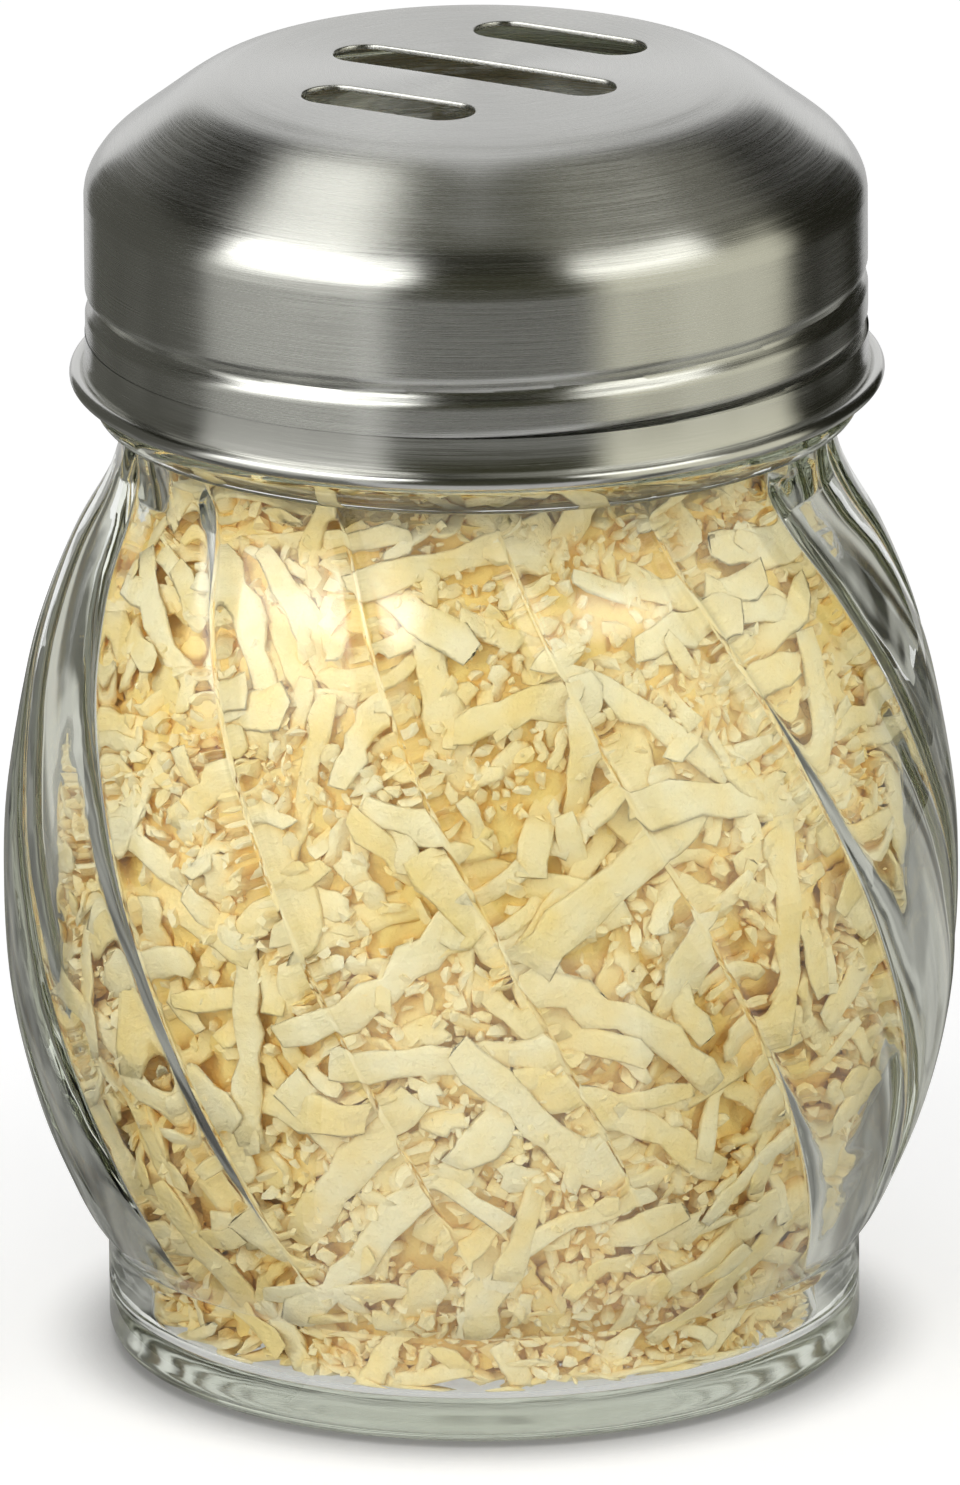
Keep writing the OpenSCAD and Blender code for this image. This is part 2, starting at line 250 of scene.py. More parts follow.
# %% [markdown]
# ### Glass
# Clear soda-lime glass has an index of refraction of 1.52 and is faintly green where it is
# thick, so a volume absorbs a little red. Light that travels to the cheese passes straight
# through the wall, because a path tracer finds no caustics here. Pressed glass is never quite
# even: a low bump makes its reflections wander. The underside of the foot is stippled, so it
# is a little rough and blurs what the base shows.

# %% The glass
STIPPLE, STIPPLE_TOP, STIPPLE_R = 0.07, 1.6, 28.3   # roughness, and the height and radius it ends at
glass, tree, out = new_material("pressed_glass")
where = node(tree, "ShaderNodeTexCoord").outputs["Object"]
waves = node(tree, "ShaderNodeTexNoise", {"Vector": where, "Scale": 110, "Detail": 2})
bump = node(tree, "ShaderNodeBump", {"Strength": 0.15, "Distance": 0.0006,
                                     "Height": waves.outputs[0]})
radius, angle, height = round_axis(tree, where)
stippled = product(tree, maths(tree, "LESS_THAN", height, STIPPLE_TOP * MM),
                   maths(tree, "LESS_THAN", radius, STIPPLE_R * MM), STIPPLE)
body = node(tree, "ShaderNodeBsdfPrincipled", {
    "Base Color": (0.985, 0.995, 0.99, 1), "Roughness": stippled, "IOR": 1.52,
    "Transmission Weight": 1.0, "Normal": bump.outputs[0]})
clear = node(tree, "ShaderNodeBsdfTransparent", {"Color": (0.91, 0.92, 0.91, 1)})
path = node(tree, "ShaderNodeLightPath")
mix = node(tree, "ShaderNodeMixShader", {0: path.outputs["Is Shadow Ray"], 1: body.outputs[0],
                                         2: clear.outputs[0]})
tint = node(tree, "ShaderNodeVolumeAbsorption", {"Color": (0.70, 0.735, 0.62, 1), "Density": 22})
tree.links.new(mix.outputs[0], out.inputs["Surface"])
tree.links.new(tint.outputs[0], out.inputs["Volume"])
print("glass:", len(tree.nodes), "nodes")

# %% [markdown]
# ### Brushed steel
# The lid was spun against an abrasive belt, so fine scratches run round its axis. They stretch
# highlights across their own direction, which is what the anisotropy does, with a tangent
# that runs round Z. A noise that changes fast along the radius and the height, and hardly at
# all round the axis, draws the scratches.

# %% The steel
SCRATCHES, ARC = 9000, 2.5    # how fast the scratches change across themselves, and along


def brushed_steel(name, colour, roughness, scratch):
    """A steel of this colour, mean roughness and depth of scratch, brushed round the axis."""
    material, tree, out = new_material(name)
    where = node(tree, "ShaderNodeTexCoord").outputs["Object"]
    radius, turn, z = round_axis(tree, where)
    ring = node(tree, "ShaderNodeCombineXYZ", {
        0: product(tree, radius, SCRATCHES), 1: product(tree, z, SCRATCHES),
        2: product(tree, turn, ARC)})
    fine = node(tree, "ShaderNodeTexNoise", {"Vector": ring.outputs[0], "Scale": 1.0,
                                             "Detail": 3, "Roughness": 0.6})
    broad = node(tree, "ShaderNodeTexNoise", {"Vector": where, "Scale": 90, "Detail": 2})
    rough = remap(tree, fine.outputs[0], 0.25, 0.75, roughness - 0.07, roughness + 0.09,
                  "LINEAR")
    shade = ramp(tree, fine.outputs[0], [(0.3, [c * 0.90 for c in colour]), (0.7, colour)])
    mottle = blended(tree, product(tree, broad.outputs[0], 0.25), shade, [c * 0.8 for c in colour])
    bump = node(tree, "ShaderNodeBump", {"Strength": scratch, "Distance": 0.00003,
                                         "Height": fine.outputs[0]})
    steel = node(tree, "ShaderNodeBsdfPrincipled", {
        "Base Color": mottle, "Metallic": 1.0, "Roughness": rough,
        "Anisotropic": 0.88, "Anisotropic Rotation": 0.25, "Normal": bump.outputs[0]})
    tangent = node(tree, "ShaderNodeTangent", direction_type="RADIAL", axis="Z")
    tree.links.new(tangent.outputs[0], steel.inputs["Tangent"])
    tree.links.new(steel.outputs[0], out.inputs["Surface"])
    return material


lid_steel = brushed_steel("brushed_steel", (0.54, 0.54, 0.52), 0.25, 0.25)
rim_steel = brushed_steel("rolled_steel", (0.56, 0.56, 0.54), 0.2, 0.12)
print("steel:", lid_steel.name, rim_steel.name)

# %% [markdown]
# ### Cheese
# Grated hard cheese is pale and matt where it is pressed against the glass, and looks more
# golden in the gaps, where light has passed through more of it. That gold is painted shade:
# each cheese mesh carries an attribute named depth, its distance behind the glass in
# millimetres, and the colour is painted gold as it grows.

# %% The cheese
PAINTED_GAP_STARTS, PAINTED_GAP_FULL = 0.7, 2.4    # depths between which the painted gap shade takes over the skin's colour


def cheese_material(name, near, pale, gap_shade, grain):
    """Cheese whose skin varies from near to pale, with gold painted in the gaps as shade."""
    material, tree, out = new_material(name)
    where = node(tree, "ShaderNodeTexCoord").outputs["Object"]
    depth = node(tree, "ShaderNodeAttribute", attribute_name="depth").outputs["Fac"]
    tone = node(tree, "ShaderNodeAttribute", attribute_name="tone").outputs["Fac"]
    blotch = node(tree, "ShaderNodeTexNoise", {"Vector": where, "Scale": 260, "Detail": 5})
    fine = node(tree, "ShaderNodeTexNoise", {"Vector": where, "Scale": 800, "Detail": 4,
                                             "Roughness": 0.65})
    patch = product(tree, maths(tree, "SUBTRACT", blotch.outputs[0], 0.5), 2.4)
    skin = blended(tree, maths(tree, "ADD", tone, patch, clamp=True), near, pale)
    # painted shade: the colour turns gold with the depth behind the glass
    painted_gap_share = remap(tree, maths(tree, "ADD", depth, patch), PAINTED_GAP_STARTS, PAINTED_GAP_FULL)
    colour = blended(tree, painted_gap_share, skin, gap_shade)
    bump = node(tree, "ShaderNodeBump", {"Strength": grain, "Distance": 0.0005,
                                         "Height": fine.outputs[0]})
    body = node(tree, "ShaderNodeBsdfPrincipled", {
        "Base Color": colour, "Roughness": 0.75, "Specular IOR Level": 0.15,
        "Subsurface Weight": 0.15, "Subsurface Radius": (1.0, 0.9, 0.75),
        "Subsurface Scale": 0.0004, "Normal": bump.outputs[0]})
    tree.links.new(body.outputs[0], out.inputs["Surface"])
    return material


# The last colour is the gold painted into the gaps as shade. The packed mass shows only between the
# pieces, so its skin is painted golden too.
CREAM, WHITE, GAP_SHADE_GOLD = (0.96, 0.75, 0.33), (0.97, 0.86, 0.57), (0.965, 0.73, 0.27)
shred_cheese = cheese_material("grated_cheese", CREAM, WHITE, GAP_SHADE_GOLD, 0.8)
core_cheese = cheese_material("packed_cheese", (0.95, 0.70, 0.24), CREAM, GAP_SHADE_GOLD, 0.8)
print("cheese:", shred_cheese.name, core_cheese.name)

# %% [markdown]
# ## Geometry Nodes, and how a result becomes a plain mesh
# What repeats or follows a rule is made by a node tree with named inputs. A modifier's input
# is set through its socket's identifier. The evaluated object is then copied into a plain
# mesh, and the modifier goes.

# %% Helpers for Geometry Nodes
def geometry_tree(name, inputs):
    """A tree with a geometry in and out, and its named inputs. Returns it with the inputs'
    sockets and the node that takes the result."""
    tree = bpy.data.node_groups.new(name, "GeometryNodeTree")
    tree.interface.new_socket("Geometry", in_out="INPUT", socket_type="NodeSocketGeometry")
    tree.interface.new_socket("Geometry", in_out="OUTPUT", socket_type="NodeSocketGeometry")
    for key, kind in inputs:
        tree.interface.new_socket(key, in_out="INPUT", socket_type="NodeSocket" + kind)
    given = tree.nodes.new("NodeGroupInput")
    return tree, given.outputs, tree.nodes.new("NodeGroupOutput")


def grow(piece, tree, values):
    """Runs a tree on a piece with these input values and keeps the result as a plain mesh."""
    modifier = piece.modifiers.new(tree.name, "NODES")
    modifier.node_group = tree
    ids = {s.name: s.identifier for s in tree.interface.items_tree if s.in_out == "INPUT"}
    for key, value in values.items():
        modifier[ids[key]] = value
    graph = bpy.context.evaluated_depsgraph_get()
    made = bpy.data.meshes.new_from_object(piece.evaluated_get(graph), depsgraph=graph)
    piece.modifiers.clear()
    piece.data = made
    made.name = piece.name
    return piece


def finish_tree(tree, result, material, out, offset=None):
    """Ends a tree in Realize Instances, an offset of its points if one is given, and Set
    Material."""
    shape = node(tree, "GeometryNodeRealizeInstances", {0: result}).outputs[0]
    if offset is not None:
        shape = node(tree, "GeometryNodeSetPosition", {"Geometry": shape,
                                                       "Offset": offset}).outputs[0]
    painted = node(tree, "GeometryNodeSetMaterial", {"Geometry": shape, "Material": material})
    tree.links.new(painted.outputs[0], out.inputs[0])


# %% [markdown]
# ## The jar
# The outline runs from the middle of the hollow foot, round the heel, up the belly, over the
# bead and the threaded neck, across the lip and down inside to the floor. The mesh is turned
# first. A node tree then dents the outer wall between the flutes and twists every row, so the
# columns of faces follow the creases and the creases stay crisp.

# %% The jar's outline
def corner(a, b, c, size, steps=4):
    """Rounds the corner b between a and c by a short curve."""
    a, b, c = (np.array(p, float) for p in (a, b, c))
    p, q = b + (a - b) / np.linalg.norm(a - b) * size, b + (c - b) / np.linalg.norm(c - b) * size
    t = np.linspace(0, 1, steps + 1)[:, None]
    return (1 - t) ** 2 * p + 2 * t * (1 - t) * b + t ** 2 * q


RING_W, HOLLOW_R, LIP_R, ROWS_OF_NECK = 4, 20, 1.5, 48
ring_out, ring_in = FOOT_R - HEEL_R, FOOT_R - HEEL_R - RING_W
bottom = np.vstack([line((0, PUSH_UP), (HOLLOW_R - 0.5, PUSH_UP), 6),
                    corner((0, PUSH_UP), (HOLLOW_R, PUSH_UP), (ring_in, 0), 1.5),
                    corner((HOLLOW_R, PUSH_UP), (ring_in, 0), (ring_out, 0), 0.8),
                    arc((ring_out, HEEL_R), HEEL_R, -90, 0, 8)])
band = line((FOOT_R, HEEL_R + 0.5), (FOOT_R, FOOT_H - 0.2), 9)
bead = arc((BEAD_R - BEAD_H / 2, BODY_H + BEAD_H / 2), BEAD_H / 2, -90, 90, 12)
under_bead = line((belly[-1][0] + 0.25, BODY_H), (bead[0][0], BODY_H), 2)
neck_foot = corner((BEAD_R, bead[-1][1]), (NECK_R, bead[-1][1]), (NECK_R, LIP_Z), 0.3)
neck = line((NECK_R, bead[-1][1] + 0.5), (NECK_R, LIP_Z - LIP_R), ROWS_OF_NECK)
lip = arc((NECK_R - LIP_R, LIP_Z - LIP_R), LIP_R, 0, 180, 12)
bore = line((BORE_R, LIP_Z - 2), (BORE_R, inside[-1][1] + 0.6), 16)
floor_r = inside[0][0]
foot_wall = line(inside[0], (floor_r, FLOOR_T + FLOOR_CORNER), 6)[1:]
floor_edge = arc((floor_r - FLOOR_CORNER, FLOOR_T + FLOOR_CORNER), FLOOR_CORNER, 0, -90, 8)
floor = line((floor_r - FLOOR_CORNER - 1, FLOOR_T), (0, FLOOR_T), 8)
outside = np.vstack([bottom, band, belly, under_bead, bead, neck_foot, neck, lip])
rows = np.vstack([outside, bore, inside[::-1], foot_wall, floor_edge, floor, [(0, FLOOR_T)]])
print("the jar's outline has", len(rows), "points")

# %% The jar's mesh, with the thread on its neck
THREAD_D, THREAD_HALF, THREAD_FLANK = 1.9, 1.2, 0.65   # how far it stands out, and its section
COLUMNS_A_FLUTE, CROWD = 18, 0.62                      # the columns crowd at the creases


def thread_ridge(angle, r, z):
    """Adds the screw thread to the rows of the neck: a ridge that fades in and out."""
    turn = ((angle - START_A) % 360) / 360
    start = LID_BOTTOM + START_H + PITCH / 2
    ridge = np.zeros_like(z)
    for k in range(3):
        along = turn + k
        away = np.abs(z - start - PITCH * along)
        height = np.clip((THREAD_HALF - away) / THREAD_FLANK, 0, 1)
        fade = np.clip(np.minimum(along, NECK_TURNS - along) * 10, 0, 1)
        ridge = np.maximum(ridge, height * fade * THREAD_D)
    on_neck = (z > BODY_H + BEAD_H + 0.2) & (r > NECK_R - 0.1)
    return np.where(on_neck, r + ridge, r)


jar = turned("fluted_jar", rows, FLUTES * COLUMNS_A_FLUTE, thread_ridge, sharp=60,
             crowd=CROWD, groups=FLUTES)
height = np.array([v.co.z for v in jar.data.vertices]) / MM
radius = np.array([v.co.xy.length for v in jar.data.vertices]) / MM
belly_r = np.interp(height, belly[:, 1], belly[:, 0])
on_wall = (np.abs(radius - belly_r) < 0.02) & (height >= FOOT_H) & (height <= BODY_H)
mark = jar.data.attributes.new("outer_wall", "FLOAT", "POINT")
mark.data.foreach_set("value", on_wall.astype(np.float32))
print("jar:", len(jar.data.polygons), "faces,", int(on_wall.sum()), "points on the outer wall")

# %% A node tree that presses the swirled flutes
tree, size, out = geometry_tree("swirled_flutes", [
    ("Flutes", "Int"), ("Crease depth", "Float"), ("Twist", "Float"), ("Phase", "Float"),
    ("Sharpness", "Float"), ("Foot height", "Float"), ("Body height", "Float"),
    ("Fade at foot", "Float"), ("Fade at top", "Float"), ("Material", "Material")])
place = node(tree, "GeometryNodeInputPosition").outputs[0]
radius, angle, z = round_axis(tree, place)
below = maths(tree, "SUBTRACT", size["Body height"], z)
above = maths(tree, "SUBTRACT", z, size["Foot height"])
share = maths(tree, "DIVIDE", below, maths(
    tree, "SUBTRACT", size["Body height"], size["Foot height"]), clamp=True)
turn = maths(tree, "ADD", size["Phase"], product(tree, size["Twist"], share))
across = maths(tree, "FRACT", product(tree, maths(tree, "DIVIDE", angle, 2 * math.pi),
                                      size["Flutes"]))
valley = maths(tree, "POWER", maths(tree, "ABSOLUTE", maths(
    tree, "SUBTRACT", product(tree, across, 2.0), 1.0)), size["Sharpness"])
ends = remap(tree, maths(
    tree, "MINIMUM", maths(tree, "DIVIDE", below, size["Fade at top"]),
    maths(tree, "DIVIDE", above, size["Fade at foot"])), 0.0, 1.0)
wall = node(tree, "GeometryNodeInputNamedAttribute", {"Name": "outer_wall"},
            data_type="FLOAT").outputs["Attribute"]
new_r = maths(tree, "SUBTRACT", radius, product(tree, valley, ends, size["Crease depth"], wall))
new_a = maths(tree, "ADD", angle, turn)
moved = node(tree, "ShaderNodeCombineXYZ", {
    0: product(tree, new_r, maths(tree, "COSINE", new_a)),
    1: product(tree, new_r, maths(tree, "SINE", new_a)), 2: z})
pressed = node(tree, "GeometryNodeSetPosition", {"Geometry": size["Geometry"],
                                                 "Position": moved.outputs[0]})
finish_tree(tree, pressed.outputs[0], size["Material"], out)
grow(jar, tree, {"Flutes": FLUTES, "Crease depth": CREASE * MM, "Twist": math.radians(TWIST),
                 "Phase": math.radians(PHASE), "Foot height": FOOT_H * MM,
                 "Sharpness": SHARPNESS, "Body height": BODY_H * MM,
                 "Fade at foot": FADE_FOOT * MM, "Fade at top": FADE_TOP * MM,
                 "Material": glass})
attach(jar, "jar")
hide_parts("glass_jar")
print("pressed jar:", [round(d, 4) for d in jar.dimensions])

# %% [markdown]
# ## The lid
# The lid is one sheet, 0.5 mm thick. Its flat middle holds the three slots, so it is filled
# with triangles between the slots' outlines and a circle (a constrained Delaunay
# triangulation). The dome, the band and the screw skirt are turned, with the helical groove
# pressed into them. Both share the circle's points and are merged there.

# %% The lid's turned part
lid_path = smooth([(s * BAND_R, LID_TOP - d * DOME_H) for s, d in dome_shares], 10)
DISC_R, LID_COLUMNS = 17.6, 360
GROOVE_D, GROOVE_HALF = 0.65, 1.1
lid_z = lambda r: np.interp(r, lid_path[:, 0], lid_path[:, 1])
dome = lid_path[lid_path[:, 0] > DISC_R + 0.3]
SKIRT_Z, SKIRT_TOP = LID_BOTTOM + RIM_D + 0.1, LID_BOTTOM + START_H + PITCH * LID_TURNS + 1.5
outer = np.vstack([[(DISC_R, lid_z(DISC_R))], dome, line((BAND_R, dome[-1][1] - 0.3),
                   (BAND_R, SKIRT_Z), 50), [(BAND_R, SKIRT_Z)]])
inner = offset(outer, -SHEET)
inner[0] = (DISC_R, lid_z(DISC_R) - SHEET)
inner[-1] = (BAND_R - SHEET, SKIRT_Z)


def groove(angle, r, z):
    """Presses the helical groove into the skirt."""
    turn = ((angle - START_A) % 360) / 360
    depth = np.zeros_like(z)
    for k in range(2):
        along = turn + k
        away = np.clip(np.abs(z - LID_BOTTOM - START_H - PITCH * along) / GROOVE_HALF, 0, 1)
        fade = np.clip(np.minimum(along, LID_TURNS - along) * 8, 0, 1)
        depth = np.maximum(depth, GROOVE_D * np.cos(np.pi / 2 * away) ** 2 * fade)
    return np.where((z < SKIRT_TOP + 1) & (z > SKIRT_Z + 0.01), r - depth, r)


lid = turned("slotted_lid", np.vstack([outer, inner[::-1]]), LID_COLUMNS, groove)
print("the lid's turned part:", len(lid.data.polygons), "faces")

# %% The flat middle with its slots
SLOT_W, GRID = 5, 0.8
SLOTS = [((0, 0), 25), ((1.4, 11.2), 15), ((-1.4, -11.2), 15)]   # middle and length
EDGE = [(0, 0.16), (0.05, 0.06), (0.12, 0.015), (0.22, 0)]   # distance and drop of a slot's edge


def stadium(middle, length, grow_by, count=18):
    """The outline of a slot with round ends, made larger by grow_by."""
    r, half = SLOT_W / 2 + grow_by, (length - SLOT_W) / 2
    right = arc((middle[0] + half, middle[1]), r, -90, 90, count)
    left = arc((middle[0] - half, middle[1]), r, 90, 270, count)
    edges = int(2 * half / GRID)
    upper = line(right[-1], left[0], edges)[1:]
    lower = line(left[-1], right[0], edges)[1:]
    return np.vstack([right, upper, left, lower])


def clear_of_slots(p, margin=0.0):
    """Whether a point lies outside every slot, by more than a margin."""
    return all(math.hypot(max(abs(p[0] - m[0]) - (length - SLOT_W) / 2, 0), p[1] - m[1])
               > SLOT_W / 2 + margin for m, length in SLOTS)


def disc_mesh():
    """Triangles of the disc's upper face: points, their drops, faces, and each slot's edge."""
    points, edges, drops, loops = [], [], [], []

    def add(loop, drop, constrain=True):
        """Takes up a loop of points, and keeps its edges if constrain is true."""
        first = len(points)
        points.extend(map(Vector, loop))
        drops.extend([drop] * len(loop))
        ids = list(range(first, len(points)))
        if constrain:
            edges.extend(zip(ids, ids[1:] + ids[:1]))
        return ids

    a = 2 * np.pi * np.arange(LID_COLUMNS) / LID_COLUMNS
    add(DISC_R * np.stack([np.cos(a), np.sin(a)], 1), 0)
    for middle, length in SLOTS:
        rings = [add(stadium(middle, length, away), drop) for away, drop in EDGE]
        loops.append(rings[0])
    for r in np.arange(0.6, DISC_R - 0.3, GRID):
        count = max(6, int(2 * np.pi * r / GRID))
        a = 2 * np.pi * (np.arange(count) + 0.5 * (int(r / GRID) % 2)) / count
        ring = r * np.stack([np.cos(a), np.sin(a)], 1)
        free = [p for p in ring if clear_of_slots(p, 0.6)]
        if free:
            add(free, 0, constrain=False)
    made = geometry.delaunay_2d_cdt(points, edges, [], 0, 1e-7)
    xy = np.array([tuple(p) for p in made[0]])
    new_id = {old: new for new, olds in enumerate(made[3]) for old in olds}
    drop = np.zeros(len(xy))
    for old, value in enumerate(drops):
        drop[new_id[old]] = value
    middles = [xy[list(f)].mean(0) for f in made[2]]
    keep = [tuple(f) for f, c in zip(made[2], middles)
            if clear_of_slots(c) and math.hypot(*c) < DISC_R]
    return xy, drop, keep, [[new_id[i] for i in loop] for loop in loops]


xy, drop, faces, loops = disc_mesh()
level = lid_z(np.hypot(xy[:, 0], xy[:, 1]))
n = len(xy)
points = np.vstack([np.column_stack([xy, level - drop]),
                    np.column_stack([xy, level - SHEET + 0.6 * drop])]) * MM
all_faces = faces + [tuple(i + n for i in reversed(f)) for f in faces]
for loop in loops:
    for p, q in zip(loop, loop[1:] + loop[:1]):
        all_faces.append((p, q, q + n, p + n))
disc = bpy.data.meshes.new("disc")
disc.from_pydata(points.tolist(), [], all_faces)
bm = bmesh.new()
bm.from_mesh(lid.data)
bm.from_mesh(disc)
bm.to_mesh(lid.data)
bm.free()
bpy.data.meshes.remove(disc)
tidy(lid.data, 35)
lid.data.materials.append(lid_steel)
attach(lid, "lid")
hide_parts("lid")
faces_at_edge = np.bincount([loop.edge_index for loop in lid.data.loops])
print("lid:", len(lid.data.polygons), "faces,", int((faces_at_edge != 2).sum()), "open edges")

# %% [markdown]
# ## The rolled rim
# The sheet's raw edge is rolled outwards into a small tube, so that it is stiff and cuts
# nobody. The outline is that tube with the short flare that leads down to it from the skirt.

# %% The rim
TUBE_R = 0.65
curl = (RIM_R + RIM_D / 2 - TUBE_R, LID_BOTTOM + TUBE_R)
flare = smooth([(31.04, 83.6), (31.05, 82.6), (31.10, 81.7), (31.22, 81.0)], 5)
tube = arc(curl, TUBE_R, 128, -180, 26)
back = smooth([(30.93, curl[1] + 0.4), (30.95, 81.1), (30.99, 81.7), (31.01, 82.4)], 4)
rim = turned("rolled_rim", np.vstack([flare, tube, back]), 360, closed=True, sharp=50)
rim.data.materials.append(rim_steel)
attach(rim, "rim")
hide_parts("rim_curl")
print("rim:", len(rim.data.polygons), "faces")

# %% [markdown]
# ## The cheese
# The jar is full of coarse shreds, broken flakes and crumbs. A lumpy mass fills the middle.
# Over it a node tree scatters pieces in layers: it spreads points on a surface behind the
# glass, puts a piece picked at random from a set on each, turns it, and tilts it a little.
# Afterwards every point is eased away from the glass, which flattens the pieces that touch it,
# as pressed cheese flattens. One lumpy surface with painted shreds would be quicker, but the
# edges of the shreds and the gaps between them are what make it look like grated cheese.

# %% The room inside the jar
cavity = np.vstack([floor_edge[::-1], foot_wall[::-1], inside, [(BORE_R, LIP_Z)]])


def wall_at(z):
    """Radius of the inner wall at a height."""
    return np.interp(z, cavity[:, 1], cavity[:, 0])


FILL, HEAP = 75.2, 1    # where the cheese meets the wall, and how far it rises in the middle


def layer(name, depth, columns=120):
    """A surface that follows the inner wall at a depth behind it, and the top of the heap."""
    low, high = FLOOR_T + depth * 0.8, FILL - depth
    z = np.linspace(low, high, 60)
    r = wall_at(np.maximum(z, FLOOR_T + 0.6)) - depth
    side = np.column_stack([r, z])
    s = np.linspace(1, 0, 12)[1:]
    top = np.column_stack([side[-1][0] * s, high + HEAP * (1 - s ** 2)])
    return turned(name, np.vstack([[(0, low)], side, top]), columns)


def press(piece, gap=0.1, softness=0.5):
    """Eases points away from the glass and the floor, and stores their depth behind it,
    which sets the painted gap shade.
    """
    mesh = piece.data
    co = np.zeros(len(mesh.vertices) * 3, np.float32)
    mesh.vertices.foreach_get("co", co)
    co = co.reshape(-1, 3).astype(float) / MM
    r = np.hypot(co[:, 0], co[:, 1])
    z = np.maximum(co[:, 2], FLOOR_T - 2)
    above = z - FLOOR_T
    z = FLOOR_T + gap + softness * np.logaddexp(0, above / softness)
    depth = wall_at(z) - r
    kept = gap + softness * np.logaddexp(0, (depth - gap) / softness)
    new_r = np.maximum(wall_at(z) - kept, 0)
    co[:, :2] *= (new_r / np.maximum(r, 1e-6))[:, None]
    co[:, 2] = z
    mesh.vertices.foreach_set("co", (co * MM).astype(np.float32).ravel())
    mesh.update()
    # how far behind the glass a point lies, or above the floor or below the top of the heap if
    # nearer: it sets the painted gap shade, so the top of the heap is not painted gold
    behind = np.minimum(np.minimum(kept, z - FLOOR_T), np.maximum(FILL + HEAP - z, 0))
    mark = mesh.attributes.get("depth") or mesh.attributes.new("depth", "FLOAT", "POINT")
    mark.data.foreach_set("value", behind.astype(np.float32))
    return piece


# %% A lumpy mass in the middle
tree, size, out = geometry_tree("lumps", [
    ("Lump size", "Float"), ("Lump height", "Float"), ("Material", "Material")])
place = node(tree, "GeometryNodeInputPosition").outputs[0]
scale = maths(tree, "DIVIDE", 1.0, size["Lump size"])
cells = node(tree, "ShaderNodeTexVoronoi", {"Vector": place, "Scale": scale}, feature="F1")
rough = node(tree, "ShaderNodeTexNoise", {"Vector": place, "Scale": product(tree, scale, 1.7),
                                          "Detail": 3})
rise = product(tree, maths(tree, "SUBTRACT", rough.outputs[0], cells.outputs["Distance"]),
               size["Lump height"])
normal = node(tree, "GeometryNodeInputNormal").outputs[0]
finish_tree(tree, size["Geometry"], size["Material"], out, vectors(tree, "SCALE", normal, rise))
core = layer("packed_mass", 1.9, columns=300)
grow(core, tree, {"Lump size": 1.9 * MM, "Lump height": 1.7 * MM, "Material": core_cheese})
press(core, 0.9)
print("packed mass:", len(core.data.polygons), "faces")

# %% A set of shreds, flakes and crumbs
rng = np.random.default_rng(7)
SHRED_T, FLAKE_BOW = 0.7, 66    # thickness, and how gently a flake is bowed


def strip(length, width, bend, sway, seed):
    """A grated shred: a strip that bends along the wall, sways sideways and has torn edges."""
    local = np.random.default_rng(seed)
    n = 10 if length > 9 else 7
    t = np.linspace(-0.5, 0.5, n)
    x = t * length
    arch = -(x ** 2) / (2 * bend)
    side = sway * np.sin(np.pi * t + local.uniform(-1, 1)) + local.normal(0, 0.06, n)
    taper = np.clip(1.2 - (2 * np.abs(t)) ** 6 * local.uniform(0.2, 0.7), 0.3, 1)
    left = width / 2 * taper * (1 + local.normal(0, 0.17, n))
    right = width / 2 * taper * (1 + local.normal(0, 0.17, n))
    half = SHRED_T / 2 * (1 + local.normal(0, 0.1, n)) * np.clip(
        1.15 - (2 * np.abs(t)) ** 6 * 0.6, 0, 1)
    ring = [(-1, 0), (-0.86, 0.8), (-0.5, 1), (0.5, 1), (0.86, 0.8), (1, 0), (0, -1)]
    points = []
    for k in range(n):
        for across, up in ring:
            y = side[k] + across * (left[k] if across < 0 else right[k])
            points.append((x[k], y, arch[k] + (up - 1) * half[k]))
    m = len(ring)
    faces = [tuple(range(m)), tuple(m * (n - 1) + k for k in reversed(range(m)))]
    for k in range(n - 1):
        for j in range(m):
            a, b = m * k + j, m * k + (j + 1) % m
            faces.append((a, a + m, b + m, b))
    return points, faces


def flake(size, seed):
    """A broken flake: a thin, slightly curved plate with a ragged outline."""
    local = np.random.default_rng(seed)
    n = 12
    a = 2 * np.pi * np.arange(n) / n + local.uniform(-0.15, 0.15, n)
    r = size / 2 * (1 + local.normal(0, 0.2, n))
    x, y = r * np.cos(a) * local.uniform(1.0, 1.5), r * np.sin(a)
    z = -(x ** 2 + y ** 2) / FLAKE_BOW
    points = [(0, 0, 0.0)] + list(zip(x * 0.85, y * 0.85, z)) \
        + list(zip(x, y, z - SHRED_T / 2)) + list(zip(x * 0.85, y * 0.85, z - SHRED_T)) \
        + [(0, 0, -SHRED_T)]
    faces = []
    for k in range(n):
        p, q = 1 + k, 1 + (k + 1) % n
        faces += [(0, p, q), (q, p, p + n, q + n), (q + n, p + n, p + 2 * n, q + 2 * n),
                  (3 * n + 1, q + 2 * n, p + 2 * n)]
    return points, faces


def crumb(seed, steps=2):
    """A crumb 1 mm in size: a broken lump, longer one way than the others."""
    local = np.random.default_rng(seed)
    bm = bmesh.new()
    bmesh.ops.create_icosphere(bm, subdivisions=steps, radius=0.5)
    stretch = np.array([local.uniform(1.0, 1.9), local.uniform(0.8, 1.1), local.uniform(0.5, 0.8)])
    offset_by = Vector(local.uniform(-9, 9, 3))
    points = []
    for v in bm.verts:
        lump = 1 + 0.75 * noise.noise(v.co * 3.0 + offset_by)
        points.append(tuple(np.array(v.co) * stretch * lump))
    faces = [tuple(v.index for v in f.verts) for f in bm.faces]
    bm.free()
    return points, faces


def piece_set(name, shapes, sharp=180):
    """A collection of loose shapes, kept out of the scene, for a node tree to pick from."""
    group = bpy.data.collections.new(name)
    for i, (points, faces) in enumerate(shapes):
        mesh = bpy.data.meshes.new(f"{name}_{i}")
        mesh.from_pydata([tuple(c * MM for c in p) for p in points], [], faces)
        group.objects.link(bpy.data.objects.new(f"{name}_{i}", tidy(mesh, sharp)))
    return group


